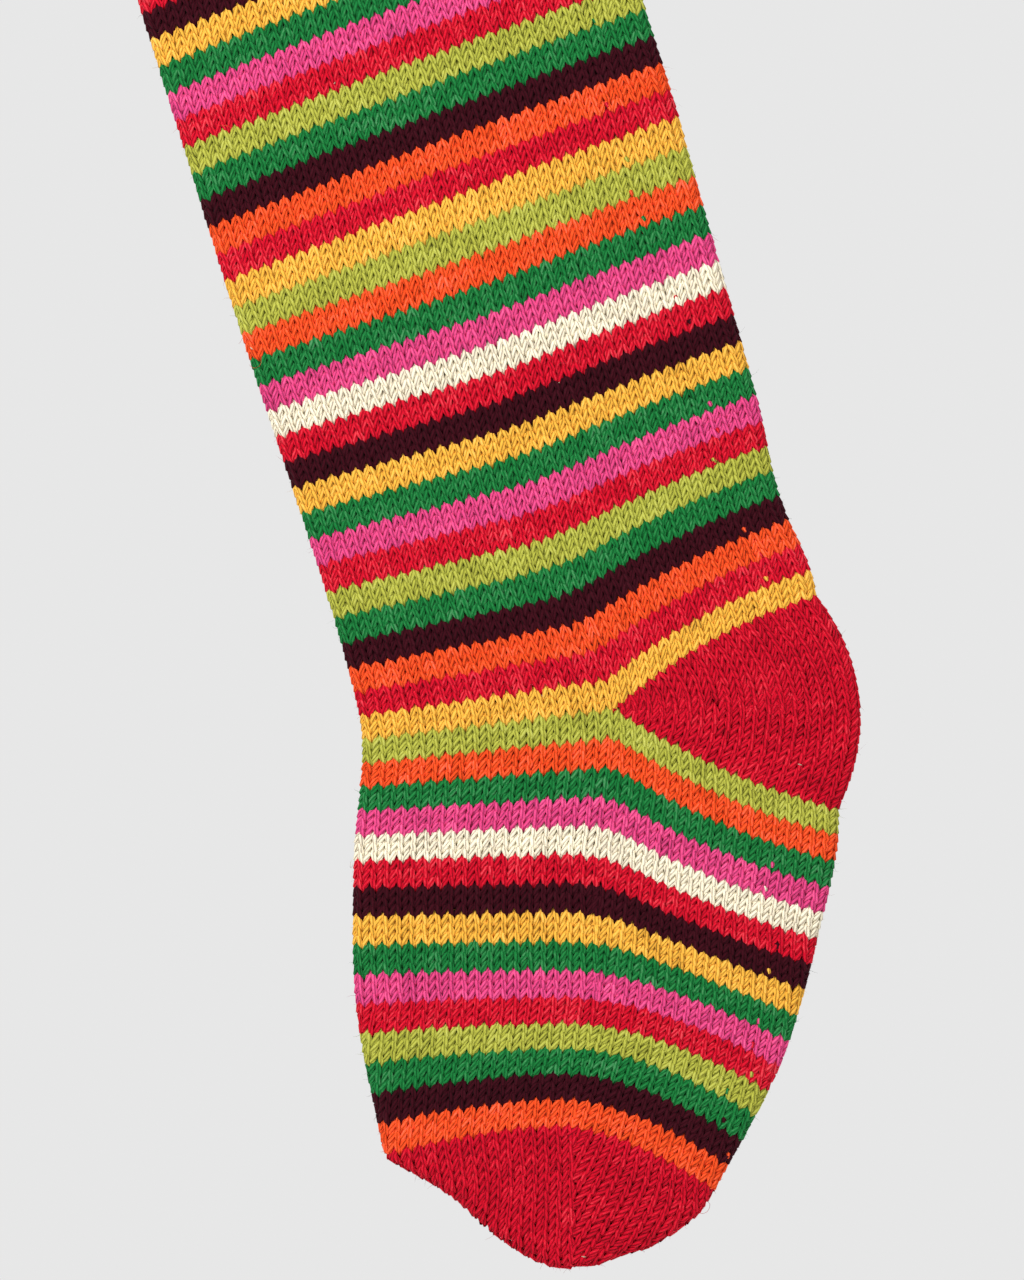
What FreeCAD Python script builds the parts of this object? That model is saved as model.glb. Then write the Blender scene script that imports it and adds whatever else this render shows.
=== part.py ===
"""Knitted Christmas stocking, hanging from its own loop.

Frame: origin at the inside top of the loop, where a hook or peg bears. +Z is up, +X runs from the
instep towards the heel, +Y points away from the side that is looked at. Millimetres throughout.

A course is one round of knitting. A stripe is one length of yarn, three courses high. Stripes are
counted from the cuff down, and line number n is the edge between stripe n and stripe n + 1.
"""
import FreeCAD, Part
import math
import os
from FreeCAD import Placement, Rotation, Vector
import Sketcher

DRIVING_SIZES = (
    # alias, value, what it sets
    ("leg_width", 185.0, "width of the flat leg, measured along a course"),
    ("fold_radius", 6.0, "outside radius of the side folds of the leg and foot"),
    ("leg_belly", 5.0, "how far each side of the leg stands out beyond its folds"),
    ("fabric_wall", 3.0, "thickness of the knitted fabric"),
    ("leg_tilt", 17.2, "angle of the leg to the plumb line"),
    ("course_slope", 20.0, "rise of the leg's courses towards the heel side"),
    ("stripe_height", 10.76, "height of one stripe along the leg"),
    ("cuff_length", 27.0, "height of the ribbed cuff"),
    ("cuff_wall", 4.4, "thickness of the ribbing, which is thicker than plain knitting"),
    ("mouth_width", 183.0, "width of the open mouth at the rim"),
    ("mouth_fold_radius", 16.0, "outside radius of the folds at the rim, which holds the mouth open"),
    ("mouth_belly", 2.0, "how far each side of the mouth stands out beyond its folds"),
    ("heel_bulge", 12.5, "how far the heel stands out behind the straight line of its edges"),
    ("foot_belly", 7.0, "how far each side of the foot stands out beyond its folds, at the toe"),
    ("toe_length", 54.0, "length of the toe along its middle"),
    ("tip_width", 21.0, "width of the drawn-shut end of the toe"),
    ("tip_belly", 0.5, "how far each side of the drawn-shut end stands out beyond its folds"),
    ("strap_width", 9.0, "width of the knitted loop strap"),
    ("strap_thickness", 3.0, "thickness of the knitted loop strap"),
    ("eye_radius", 9.0, "inside radius of the loop's round top"),
    ("eye_depth", 44.0, "depth of the loop's opening"),
    ("loop_drop", 60.0, "from the inside top of the loop to the swing axis"),
    ("rim_drop", 4.0, "from the swing axis down to the rim at the fold"),
    ("end_play", 1.7, "space between the loop's sewn ends and the fabric of the fold"),
    ("swing_clearance", 0.4, "space between the rounded neck of the loop and its sewn ends"),
    ("sewn_length", 14.0, "length of the loop's ends inside the cuff"),
    ("stitch_diameter", 1.6, "thickness of the yarn that sews the loop on"),
    ("stitch_spacing", 5.0, "distance between neighbouring sewing stitches"),
)

STRAIGHT_STRIPES = 17
HEEL_LINE = 35
TOE_LINE = 50

LEG_COLOURS = (
    "yellow lime orange green pink cream red plum yellow green pink red lime green plum orange red "
    "yellow lime orange green pink cream red plum yellow green pink red lime green plum orange red "
    "yellow"
).split()
FOOT_COLOURS = "lime orange green pink cream red plum yellow green pink red lime green plum orange".split()

# The front fold runs down in straight stretches that are eased into each other. Each row is a line
# number, the stretch's heading from the plumb line, its stripe height as a share of the leg's, and
# then the slope and the width share of the instep half of the course at that line.
FRONT_LINES = (
    (17, 17.2, 1.00, 20.0, 1.00, 0.0),
    (20, 17.6, 0.985, 17.4, 0.99, 0.0),
    (27, 18.3, 0.96, 14.0, 0.97, 0.0),
    (31, 17.1, 0.975, 12.0, 0.97, 0.0),
    (35, 12.3, 0.875, 7.0, 1.045, 0.0),
    (40, -3.8, 0.87, 2.2, 1.02, 0.0),
    (45, 0.8, 1.02, 2.0, 1.00, 1.0),
    (50, 10.6, 1.09, 10.0, 0.80, 2.2),
)
# The heel half of each course: line number, slope, width share, bow above its chord.
BACK_LEG_LINES = (
    (17, 20.0, 1.00, 0.0),
    (27, 21.8, 0.98, 1.0),
    (31, 25.5, 0.96, 2.5),
    (35, 29.0, 0.965, 4.9),
)
BACK_FOOT_LINES = (
    (35, -24.0, 1.025, -4.0),
    (40, -21.7, 0.97, -2.5),
    (45, -21.3, 0.81, 3.0),
    (50, -26.7, 0.65, 3.0),
)
# The toe's courses shrink from the last foot line to the tip: share of the toe's length, then the
# share of the way that its two ends have moved in, and the slopes of its two halves.
TOE_COURSES = (
    (0.33, 0.30, 10.0, -23.0),
    (0.66, 0.61, 10.5, -22.0),
    (0.88, 0.86, 11.0, -12.0),
)

QUARTER_POINTS = 13
HEEL_ROWS = 5
CORNER_SHARE = 0.04


def make_sheet(doc):
    """Writes the driving sizes into the spreadsheet and returns it."""
    sheet = doc.addObject("Spreadsheet::Sheet", "Sizes")
    for row, (alias, value, note) in enumerate(DRIVING_SIZES, start=1):
        sheet.set(f"A{row}", note)
        sheet.set(f"B{row}", str(value))
        sheet.setAlias(f"B{row}", alias)
    doc.recompute()
    return sheet


def direction(angle):
    """Unit vector in the plane of the stocking, rising by the angle towards the heel side."""
    return Vector(math.cos(math.radians(angle)), 0, math.sin(math.radians(angle)))


def downwards(angle):
    """Unit vector that runs down, swung by the angle towards the heel side."""
    return Vector(math.sin(math.radians(angle)), 0, -math.cos(math.radians(angle)))


def eased(rows, line, column):
    """Value of a column at a line number, on a smooth curve through the rows."""
    lines = [row[0] for row in rows]
    values = [row[column] for row in rows]
    if line <= lines[0]:
        return values[0]
    if line >= lines[-1]:
        return values[-1]
    at = max(i for i in range(len(lines) - 1) if lines[i] <= line)

    def steepness(i):
        """Slope of the curve at row i: level or one-sided at the ends, and mean between."""
        before, after = max(i - 1, 0), min(i + 1, len(lines) - 1)
        return (values[after] - values[before]) / (lines[after] - lines[before])

    span = lines[at + 1] - lines[at]
    u = (line - lines[at]) / span
    rise = values[at + 1] - values[at]
    start, end = steepness(at) * span, steepness(at + 1) * span
    return values[at] + u * start + u * u * (3 * rise - 2 * start - end) + u**3 * (start + end - 2 * rise)


class Stocking:
    """The outline of the stocking, worked out from the sizes in the sheet."""

    def __init__(self, sheet):
        self.s = sheet
        self.hinge = Vector(0, 0, -sheet.loop_drop)
        self.across = direction(sheet.course_slope)
        self.along = downwards(sheet.leg_tilt)
        self.outwards = direction(sheet.leg_tilt)
        inset = sheet.strap_thickness + sheet.end_play + sheet.cuff_wall
        rim_corner = self.hinge + self.outwards * inset + self.along * sheet.rim_drop
        self.rim_middle = rim_corner - self.across * (sheet.mouth_width / 2)
        self.cuff_foot = self.rim_middle + self.along * sheet.cuff_length
        self.front_points = self.walk_front_fold()

    def walk_front_fold(self):
        """Line number, x and z of the front fold at each row of FRONT_LINES, and one row before."""
        point = self.cuff_foot - self.across * (self.s.leg_width / 2)
        line = 0
        rows = [(line, point.x, point.z)]
        for row in FRONT_LINES:
            point = point + downwards(row[1]) * (self.s.stripe_height * row[2] * (row[0] - line))
            line = row[0]
            rows.append((line, point.x, point.z))
        return rows

    def front_fold(self, line):
        """Point of the front fold at a line number."""
        if line <= STRAIGHT_STRIPES:
            x, z = self.front_points[0][1:]
            return Vector(x, 0, z) + self.along * (self.s.stripe_height * line)
        return Vector(eased(self.front_points, line, 1), 0, eased(self.front_points, line, 2))

    def course(self, line, below_heel=False):
        """The course at a line: its front end, its middle, its back end and the two bows."""
        half = self.s.leg_width / 2
        front = self.front_fold(line)
        slope, share = eased(FRONT_LINES, line, 3), eased(FRONT_LINES, line, 4)
        middle = front + direction(slope) * (half * share)
        rows = BACK_FOOT_LINES if line > HEEL_LINE or below_heel else BACK_LEG_LINES
        back = middle + direction(eased(rows, line, 1)) * (half * eased(rows, line, 2))
        return Course(front, middle, back, eased(FRONT_LINES, line, 5), eased(rows, line, 3),
                      self.s.fold_radius, self.belly(line), self.s.fabric_wall)

    def belly(self, line):
        """How far the sides stand out beyond the folds: the leg's measure, growing down the foot."""
        growth = max(0.0, (line - STRAIGHT_STRIPES) / (TOE_LINE - STRAIGHT_STRIPES))
        return self.s.leg_belly + (self.s.foot_belly - self.s.leg_belly) * growth

    def toe_courses(self):
        """The courses of the toe, from the last foot line to the drawn-shut tip."""
        first = self.course(TOE_LINE)
        tip = first.middle + Vector(0, 0, -self.s.toe_length)
        courses = [first]
        for down, moved_in, front_slope, back_slope in TOE_COURSES:
            middle = first.middle + (tip - first.middle) * down
            half = first.half_width() * (1 - moved_in) + self.s.tip_width / 2 * moved_in
            courses.append(Course(
                middle - direction(front_slope) * half,
                middle,
                middle + direction(back_slope) * half,
                first.front_bow * (1 - moved_in),
                first.back_bow * (1 - moved_in),
                self.s.fold_radius,
                first.belly + (self.s.tip_belly - first.belly) * moved_in,
                self.s.fabric_wall,
            ))
        reach = Vector(self.s.tip_width / 2, 0, 0)
        courses.append(Course(tip - reach, tip, tip + reach, 0, 0,
                              self.s.fold_radius, self.s.tip_belly, self.s.fabric_wall))
        return courses


class Course:
    """One closed line round the flat tube: two bowed halves in the plane, and a lens section."""

    def __init__(self, front, middle, back, front_bow, back_bow, fold_radius, belly, wall):
        self.front, self.middle, self.back = front, middle, back
        self.front_bow, self.back_bow = front_bow, back_bow
        self.fold_radius, self.belly, self.wall = fold_radius, belly, wall

    def half_width(self):
        """Mean width of the two halves."""
        return ((self.middle - self.front).Length + (self.back - self.middle).Length) / 2

    def width(self):
        """Whole width along the course."""
        return (self.middle - self.front).Length + (self.back - self.middle).Length

    def place(self, distance):
        """Point of the plane at a distance from the front fold along the course."""
        front_width = (self.middle - self.front).Length
        if distance <= front_width:
            start, end, bow, share = self.front, self.middle, self.front_bow, distance / front_width
        else:
            rest = (distance - front_width) / (self.back - self.middle).Length
            start, end, bow, share = self.middle, self.back, self.back_bow, rest
        chord = end - start
        up = Vector(-chord.z, 0, chord.x).normalize()
        return start + chord * share + up * (4 * bow * share * (1 - share))

    def half_thickness(self, distance, inset):
        """Half of the lens section's thickness at a distance from the front fold."""
        width, radius = self.width() - 2 * inset, self.fold_radius - inset
        reach, rise = width / 2 - radius, radius + self.belly
        face = (reach**2 + rise**2 - radius**2) / (2 * self.belly)
        touch = radius - radius * reach / (face - radius)
        near = min(distance - inset, width - (distance - inset))
        if near <= touch:
            return math.sqrt(max(0.0, radius**2 - (radius - near) ** 2))
        return math.sqrt(face**2 - (width / 2 - near) ** 2) - (face - rise)

    def quarter(self, number, inset=0.0, left_out=0.0, lift=0.0):
        """Points of one quarter of the loop, from its fold to the middle, less a share left out.

        Quarters 0 to 3 are instep front, heel front, heel back and instep back.
        """
        front_width = (self.middle - self.front).Length
        heel_side = number in (1, 2)
        side = -1 if number in (0, 1) else 1
        own_width = self.width() - front_width if heel_side else front_width
        points = []
        for i in range(QUARTER_POINTS):
            share = (i / (QUARTER_POINTS - 1)) ** 2 * (1 - left_out)
            from_fold = inset + (own_width - inset) * share
            distance = self.width() - from_fold if heel_side else from_fold
            place = self.place(distance)
            half = self.half_thickness(distance, inset)
            points.append(Vector(place.x, side * half, place.z + lift))
        return points


def curve(points):
    """Smooth edge through points."""
    spline = Part.BSplineCurve()
    spline.interpolate(points)
    return spline.toShape()


def skin(rows):
    """Ruled faces between each pair of neighbouring rows of points."""
    edges = [curve(row) for row in rows]
    return [Part.makeRuledSurface(upper, lower) for upper, lower in zip(edges, edges[1:])]


def solid_within(faces):
    """Solid bounded by the faces."""
    shell = Part.makeShell(faces)
    shell.sewShape()
    solid = Part.makeSolid(shell if shell.ShapeType == "Shell" else shell.Shells[0])
    if solid.Volume < 0:
        solid.reverse()
    return solid


def band_solid(upper, lower):
    """The knitted wall between two courses, open at the top and the bottom."""
    faces = []
    for q in range(4):
        outer = [upper.quarter(q), lower.quarter(q)]
        inner = [upper.quarter(q, upper.wall), lower.quarter(q, lower.wall)]
        faces += skin(outer) + skin(inner) + skin([outer[0], inner[0]]) + skin([outer[-1], inner[-1]])
    return solid_within(faces)


def heel_solid(outline):
    """The pouch between the leg and the foot, round the heel-side fold, with rows fanned out."""
    upper = outline.course(HEEL_LINE)
    lower = outline.course(HEEL_LINE, below_heel=True)
    out = (lower.back - upper.back).cross(Vector(0, 1, 0)).normalize()
    courses = []
    for row in range(HEEL_ROWS):
        share = row / (HEEL_ROWS - 1)
        bulge = out * (4 * outline.s.heel_bulge * share * (1 - share))
        back = upper.back + (lower.back - upper.back) * share + bulge
        bow = upper.back_bow + (lower.back_bow - upper.back_bow) * share
        courses.append(Course(upper.front, upper.middle, back, upper.front_bow, bow,
                              upper.fold_radius, upper.belly, upper.wall))
    faces = []
    for q in (1, 2):
        outer = [course.quarter(q, left_out=CORNER_SHARE) for course in courses]
        inner = [course.quarter(q, course.wall, CORNER_SHARE) for course in courses]
        faces += skin(outer) + skin(inner) + skin([outer[0], inner[0]]) + skin([outer[-1], inner[-1]])
        for above in range(HEEL_ROWS - 1):
            corner_above = Part.makeLine(outer[above][-1], inner[above][-1])
            corner_below = Part.makeLine(outer[above + 1][-1], inner[above + 1][-1])
            faces.append(Part.makeRuledSurface(corner_above, corner_below))
    return solid_within(faces)


def toe_solid(outline):
    """The cup of the toe: rows that shrink to a small drawn-shut end."""
    courses = outline.toe_courses()
    lifts = [course.wall * (row / (len(courses) - 1)) ** 2 for row, course in enumerate(courses)]
    faces, outer_end, inner_end = [], [], []
    for q in range(4):
        outer = [course.quarter(q) for course in courses]
        inner = [course.quarter(q, course.wall, lift=lift) for course, lift in zip(courses, lifts)]
        faces += skin(outer) + skin(inner) + skin([outer[0], inner[0]])
        outer_end.append(curve(outer[-1]))
        inner_end.append(curve(inner[-1]))
    for edges in (outer_end, inner_end):
        faces.append(Part.Face(Part.Wire(Part.__sortEdges__(edges))))
    return solid_within(faces)


def origin_plane(body, role):
    """The body's own base plane of that role."""
    return next(f for f in body.Origin.OriginFeatures if f.Role == role)


def new_body(doc, label, placement):
    """An empty body with its label and placement."""
    body = doc.addObject("PartDesign::Body", label)
    body.Label = label
    body.Placement = placement
    return body


def new_sketch(body, name, role="XY_Plane", offset=None):
    """A sketch on one of the body's base planes, moved off it if an offset is given."""
    sketch = body.newObject("Sketcher::SketchObject", name)
    sketch.AttachmentSupport = [(origin_plane(body, role), "")]
    sketch.MapMode = "FlatFace"
    if offset:
        sketch.AttachmentOffset = Placement(offset, Rotation())
    return sketch


def fix(sketch, kind, *where, size=None, formula=None):
    """Adds one constraint, and binds it to a formula on the sheet if it has one."""
    number = sketch.addConstraint(Sketcher.Constraint(kind, *where, *([] if size is None else [size])))
    if formula:
        sketch.setExpression(f"Constraints[{number}]", formula)
    return number


def draw_lens(sketch, width, radius, belly):
    """Draws a flattened tube's section: two wide faces between two small round folds.

    Each size is a pair: its value and its formula on the sheet.
    """
    reach, rise = width[0] / 2 - radius[0], radius[0] + belly[0]
    face = (reach**2 + rise**2 - radius[0] ** 2) / (2 * belly[0])
    lean = math.atan2(face - rise, reach)
    up, half_turn = Vector(0, 0, 1), math.pi
    first = sketch.GeometryCount
    for x, y, size, start, end in (
        (reach, 0, radius[0], -lean, lean),
        (0, rise - face, face, lean, half_turn - lean),
        (-reach, 0, radius[0], half_turn - lean, half_turn + lean),
        (0, face - rise, face, half_turn + lean, 2 * half_turn - lean),
    ):
        sketch.addGeometry(Part.ArcOfCircle(Part.Circle(Vector(x, y, 0), up, size), start, end), False)
    right, top, left, bottom = range(first, first + 4)
    for before, after in ((right, top), (top, left), (left, bottom), (bottom, right)):
        fix(sketch, "Tangent", before, 2, after, 1)
    reach_formula = f"({width[1]}) / 2 - ({radius[1]})"
    face_formula = (
        f"(({reach_formula})^2 + ({radius[1]} + {belly[1]})^2 - ({radius[1]})^2) / (2 * {belly[1]})"
    )
    fix(sketch, "PointOnObject", right, 3, -1)
    fix(sketch, "PointOnObject", left, 3, -1)
    fix(sketch, "DistanceX", -1, 1, right, 3, size=reach, formula=reach_formula)
    fix(sketch, "DistanceX", left, 3, -1, 1, size=reach, formula=reach_formula)
    fix(sketch, "Radius", right, size=radius[0], formula=radius[1])
    fix(sketch, "Equal", right, left)
    fix(sketch, "Radius", top, size=face, formula=face_formula)
    fix(sketch, "Equal", top, bottom)


def lens_sizes(sheet, section, wall=None):
    """Pairs of value and formula for draw_lens: a section's own sizes, or those inside its wall."""
    pairs = []
    for alias, walls in zip(section, (2, 1, 0)):
        inside = walls * getattr(sheet, wall) if wall else 0
        formula = f"Sizes.{alias} - {walls} * Sizes.{wall}" if wall else f"Sizes.{alias}"
        pairs.append((getattr(sheet, alias) - inside, formula))
    return pairs


LEG_SECTION = ("leg_width", "fold_radius", "leg_belly")
MOUTH_SECTION = ("mouth_width", "mouth_fold_radius", "mouth_belly")
SKEW = "(Sizes.course_slope - Sizes.leg_tilt) * 1 deg"


def make_straight_stripe(doc, outline, label, line):
    """A stripe of the straight leg: the flat tube's section, padded up the leg from its lower line."""
    sheet = outline.s
    middle = outline.course(line).middle
    turn = Rotation(Vector(0, 1, 0), -sheet.course_slope)
    body = new_body(doc, label, Placement(middle, turn))
    sketch = new_sketch(body, f"{label}_section")
    draw_lens(sketch, *lens_sizes(sheet, LEG_SECTION))
    draw_lens(sketch, *lens_sizes(sheet, LEG_SECTION, "fabric_wall"))
    pad = body.newObject("PartDesign::Pad", f"{label}_pad")
    pad.Profile = sketch
    pad.UseCustomVector = True
    pad.Direction = turn.inverted().multVec(-outline.along)
    pad.AlongSketchNormal = False
    pad.setExpression("Length", "Sizes.stripe_height")
    return body


def make_cuff(doc, outline):
    """The cuff: lofted from the leg's section up to the wider-standing mouth, and hollow."""
    sheet = outline.s
    placement = Placement(outline.cuff_foot, Rotation(Vector(0, 1, 0), -sheet.course_slope))
    body = new_body(doc, "cuff", placement)
    for name, wall, kind in (
        ("outside", None, "PartDesign::AdditiveLoft"),
        ("inside", "cuff_wall", "PartDesign::SubtractiveLoft"),
    ):
        foot = new_sketch(body, f"cuff_foot_{name}")
        draw_lens(foot, *lens_sizes(sheet, LEG_SECTION, wall))
        rim = new_sketch(body, f"cuff_rim_{name}")
        rim.setExpression("AttachmentOffset.Base.x", f"Sizes.cuff_length * sin({SKEW})")
        rim.setExpression("AttachmentOffset.Base.z", f"Sizes.cuff_length * cos({SKEW})")
        draw_lens(rim, *lens_sizes(sheet, MOUTH_SECTION, wall))
        loft = body.newObject(kind, f"cuff_{name}")
        loft.Profile = foot
        loft.Sections = [rim]
        loft.Ruled = True
    return body


def make_loop(doc, outline):
    """The hanging loop: a strap bent into a drop-shaped eye, its two layers together in the neck."""
    s = outline.s
    strap, eye, depth, drop = s.strap_thickness, s.eye_radius, s.eye_depth, s.loop_drop
    lean = math.asin(eye / (depth - eye))
    out, down = math.cos(lean), math.sin(lean)
    outer = eye + strap
    shoulder = -eye - outer * down - (outer * out - strap) / down * out
    body = new_body(doc, "hanging_loop", Placement())
    sketch = new_sketch(body, "hanging_loop_outline", "XZ_Plane")
    centre, up = Vector(0, -eye, 0), Vector(0, 0, 1)

    def side(radius, sign):
        """End of a round top's arc, on the right for sign 1 and on the left for sign -1."""
        return Vector(sign * radius * out, -eye - radius * down, 0)

    neck = {sign: Vector(sign * strap, shoulder, 0) for sign in (1, -1)}
    foot = {sign: Vector(sign * strap, -drop, 0) for sign in (1, -1)}
    cusp = Vector(0, -depth, 0)
    for shape in (
        Part.ArcOfCircle(Part.Circle(centre, up, outer), -lean, math.pi + lean),
        Part.LineSegment(side(outer, -1), neck[-1]),
        Part.LineSegment(neck[-1], foot[-1]),
        Part.ArcOfCircle(Part.Circle(Vector(0, -drop, 0), up, strap), math.pi, 2 * math.pi),
        Part.LineSegment(foot[1], neck[1]),
        Part.LineSegment(neck[1], side(outer, 1)),
        Part.ArcOfCircle(Part.Circle(centre, up, eye), -lean, math.pi + lean),
        Part.LineSegment(side(eye, -1), cusp),
        Part.LineSegment(cusp, side(eye, 1)),
    ):
        sketch.addGeometry(shape, False)
    top, left, left_neck, end, right_neck, right, eye_top, eye_left, eye_right = range(9)
    for a, a_point, b, b_point in (
        (top, 2, left, 1), (left_neck, 2, end, 1), (end, 2, right_neck, 1),
        (right, 2, top, 1), (eye_top, 2, eye_left, 1), (eye_right, 2, eye_top, 1),
    ):
        fix(sketch, "Tangent", a, a_point, b, b_point)
    for a, b in ((left, left_neck), (right_neck, right), (eye_left, eye_right)):
        fix(sketch, "Coincident", a, 2, b, 1)
    fix(sketch, "Vertical", left_neck)
    fix(sketch, "Vertical", right_neck)
    fix(sketch, "Parallel", left, eye_left)
    fix(sketch, "Parallel", right, eye_right)
    fix(sketch, "PointOnObject", top, 3, -2)
    fix(sketch, "Coincident", eye_top, 3, top, 3)
    fix(sketch, "PointOnObject", eye_left, 2, -2)
    fix(sketch, "PointOnObject", end, 3, -2)
    fix(sketch, "DistanceY", top, 3, -1, 1, size=eye, formula="Sizes.eye_radius")
    fix(sketch, "DistanceY", eye_left, 2, -1, 1, size=depth, formula="Sizes.eye_depth")
    fix(sketch, "DistanceY", end, 3, -1, 1, size=drop, formula="Sizes.loop_drop")
    fix(sketch, "Radius", eye_top, size=eye, formula="Sizes.eye_radius")
    fix(sketch, "Radius", top, size=outer, formula="Sizes.eye_radius + Sizes.strap_thickness")
    fix(sketch, "Radius", end, size=strap, formula="Sizes.strap_thickness")
    pad = body.newObject("PartDesign::Pad", "hanging_loop_pad")
    pad.Profile = sketch
    pad.SideType = "Symmetric"
    pad.setExpression("Length", "Sizes.strap_width")
    return body


def make_loop_ends(doc, outline):
    """The strap's two ends, flat on each other inside the heel-side fold of the cuff."""
    s = outline.s
    box = doc.addObject("Part::Box", "loop_ends")
    box.Label = "loop_ends"
    box.setExpression("Length", "2 * Sizes.strap_thickness")
    box.setExpression("Width", "Sizes.strap_width")
    box.setExpression("Height", "Sizes.sewn_length")
    start = s.strap_thickness + s.swing_clearance
    corner = (outline.hinge + outline.along * (start + s.sewn_length)
              - outline.outwards * s.strap_thickness - Vector(0, s.strap_width / 2, 0))
    box.Placement = Placement(corner, Rotation(Vector(0, 1, 0), -s.leg_tilt))
    return box


def make_loop_stitches(doc, outline):
    """Four stitches of yarn, from the loop's ends out through the fabric of the fold."""
    s = outline.s
    depth = s.strap_thickness + s.swing_clearance + s.sewn_length / 2
    body = new_body(doc, "loop_stitches",
                    Placement(outline.hinge + outline.along * depth, Rotation(Vector(0, 1, 0), -s.leg_tilt)))
    sketch = new_sketch(body, "loop_stitches_section", "YZ_Plane")
    half = s.stitch_spacing / 2
    for y in (-1, 1):
        for z in (-1, 1):
            number = sketch.GeometryCount
            circle = Part.Circle(Vector(y * half, z * half, 0), Vector(0, 0, 1), s.stitch_diameter / 2)
            sketch.addGeometry(circle, False)
            across = (-1, 1, number, 3) if y > 0 else (number, 3, -1, 1)
            above = (-1, 1, number, 3) if z > 0 else (number, 3, -1, 1)
            fix(sketch, "DistanceX", *across, size=half, formula="Sizes.stitch_spacing / 2")
            fix(sketch, "DistanceY", *above, size=half, formula="Sizes.stitch_spacing / 2")
            fix(sketch, "Diameter", number, size=s.stitch_diameter, formula="Sizes.stitch_diameter")
    pad = body.newObject("PartDesign::Pad", "loop_stitches_pad")
    pad.Profile = sketch
    reach = "Sizes.strap_thickness + Sizes.end_play + Sizes.cuff_wall + Sizes.stitch_diameter / 2"
    pad.setExpression("Length", reach)
    return body


def make_feature(doc, label, shape):
    """A part whose shape has no sketch: a wall between two bent courses."""
    feature = doc.addObject("Part::Feature", label)
    feature.Label = label
    feature.Shape = shape
    feature.Placement = Placement()
    return feature


def make_stripes(doc, outline):
    """Every stripe of the leg and of the foot, each its own length of yarn."""
    made = []
    for line, colour in enumerate(LEG_COLOURS + FOOT_COLOURS, start=1):
        if line <= HEEL_LINE:
            label = f"leg_stripe_{line:02d}_{colour}"
        else:
            label = f"foot_stripe_{line - HEEL_LINE:02d}_{colour}"
        if line <= STRAIGHT_STRIPES:
            made.append(make_straight_stripe(doc, outline, label, line))
        else:
            upper = outline.course(line - 1, below_heel=line - 1 == HEEL_LINE)
            made.append(make_feature(doc, label, band_solid(upper, outline.course(line))))
    return made


def check(doc, parts):
    """Stops if any object failed or any part's shape isn't one sound, closed shape."""
    failed = [o.Name for o in doc.Objects if {"Invalid", "Error"} & set(o.State)]
    for part in parts:
        shape = part.Shape
        if shape.isNull() or not shape.isValid() or not shape.Solids or shape.Volume <= 0:
            failed.append(part.Label)
    if failed:
        raise RuntimeError(f"these objects failed: {sorted(set(failed))}")


def main():
    """Builds the document, checks it, and writes one STEP file for each part."""
    doc = FreeCAD.newDocument("knitted_stocking")
    outline = Stocking(make_sheet(doc))
    parts = [make_cuff(doc, outline)]
    parts += make_stripes(doc, outline)
    parts.append(make_feature(doc, "heel", heel_solid(outline)))
    parts.append(make_feature(doc, "toe", toe_solid(outline)))
    parts += [make_loop(doc, outline), make_loop_ends(doc, outline), make_loop_stitches(doc, outline)]
    doc.recompute()
    check(doc, parts)
    os.makedirs("parts", exist_ok=True)
    for part in parts:
        part.Shape.exportStep(f"parts/{part.Label}.step")
    print(f"{len(parts)} parts written")


main()
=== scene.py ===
"""Hand-knitted striped Christmas stocking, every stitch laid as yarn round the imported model."""

import logging
import math
from dataclasses import dataclass, field
from enum import Enum
from typing import Callable, Sequence

import bpy
import numpy as np
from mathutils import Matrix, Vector

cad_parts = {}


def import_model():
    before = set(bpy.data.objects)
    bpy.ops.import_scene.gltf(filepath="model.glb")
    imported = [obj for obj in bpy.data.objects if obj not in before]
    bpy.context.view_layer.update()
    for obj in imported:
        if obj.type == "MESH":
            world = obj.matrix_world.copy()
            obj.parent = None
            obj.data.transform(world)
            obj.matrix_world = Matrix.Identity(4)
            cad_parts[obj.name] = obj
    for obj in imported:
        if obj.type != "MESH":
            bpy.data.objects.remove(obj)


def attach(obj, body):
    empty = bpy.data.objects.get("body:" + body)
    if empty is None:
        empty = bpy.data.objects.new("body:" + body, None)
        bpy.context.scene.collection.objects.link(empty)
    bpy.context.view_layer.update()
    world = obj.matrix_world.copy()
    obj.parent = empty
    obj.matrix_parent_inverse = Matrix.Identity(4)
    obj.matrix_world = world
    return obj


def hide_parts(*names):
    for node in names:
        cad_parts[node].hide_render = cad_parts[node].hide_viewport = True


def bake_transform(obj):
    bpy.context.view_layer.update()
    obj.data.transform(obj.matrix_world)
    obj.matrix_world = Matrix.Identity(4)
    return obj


logging.basicConfig(level=logging.INFO, format="%(message)s")
log = logging.getLogger("stocking")

MM = 0.001
STITCHES = 76
QUARTER = STITCHES // 4
SIDE = STITCHES // 2
ROUNDS_PER_STRIPE = 3
HEEL_LINE = 35
TOE_LINE = 50
STRAIGHT_STRIPES = 17
YARN_JOIN = 33.0
ROUND_HEIGHT = 3.6
# A tone above any yarn's own marks a fleck of straw caught in the wool.
STRAW_TONE = 9.0
STRAW_COLOUR = (0.80, 0.66, 0.48, 1)
NEXT_QUARTER = 100.0
TOE_ROUNDS = 15
LOST_AT_START = (1.0, 0.5, 0.5, 0.0)
QUARTER_OVERLAP = 0.03
YARN_ORDER = (2, 3, 0, 1)
SEED = 20261119

Surface = Callable[[np.ndarray, np.ndarray], np.ndarray]


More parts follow.
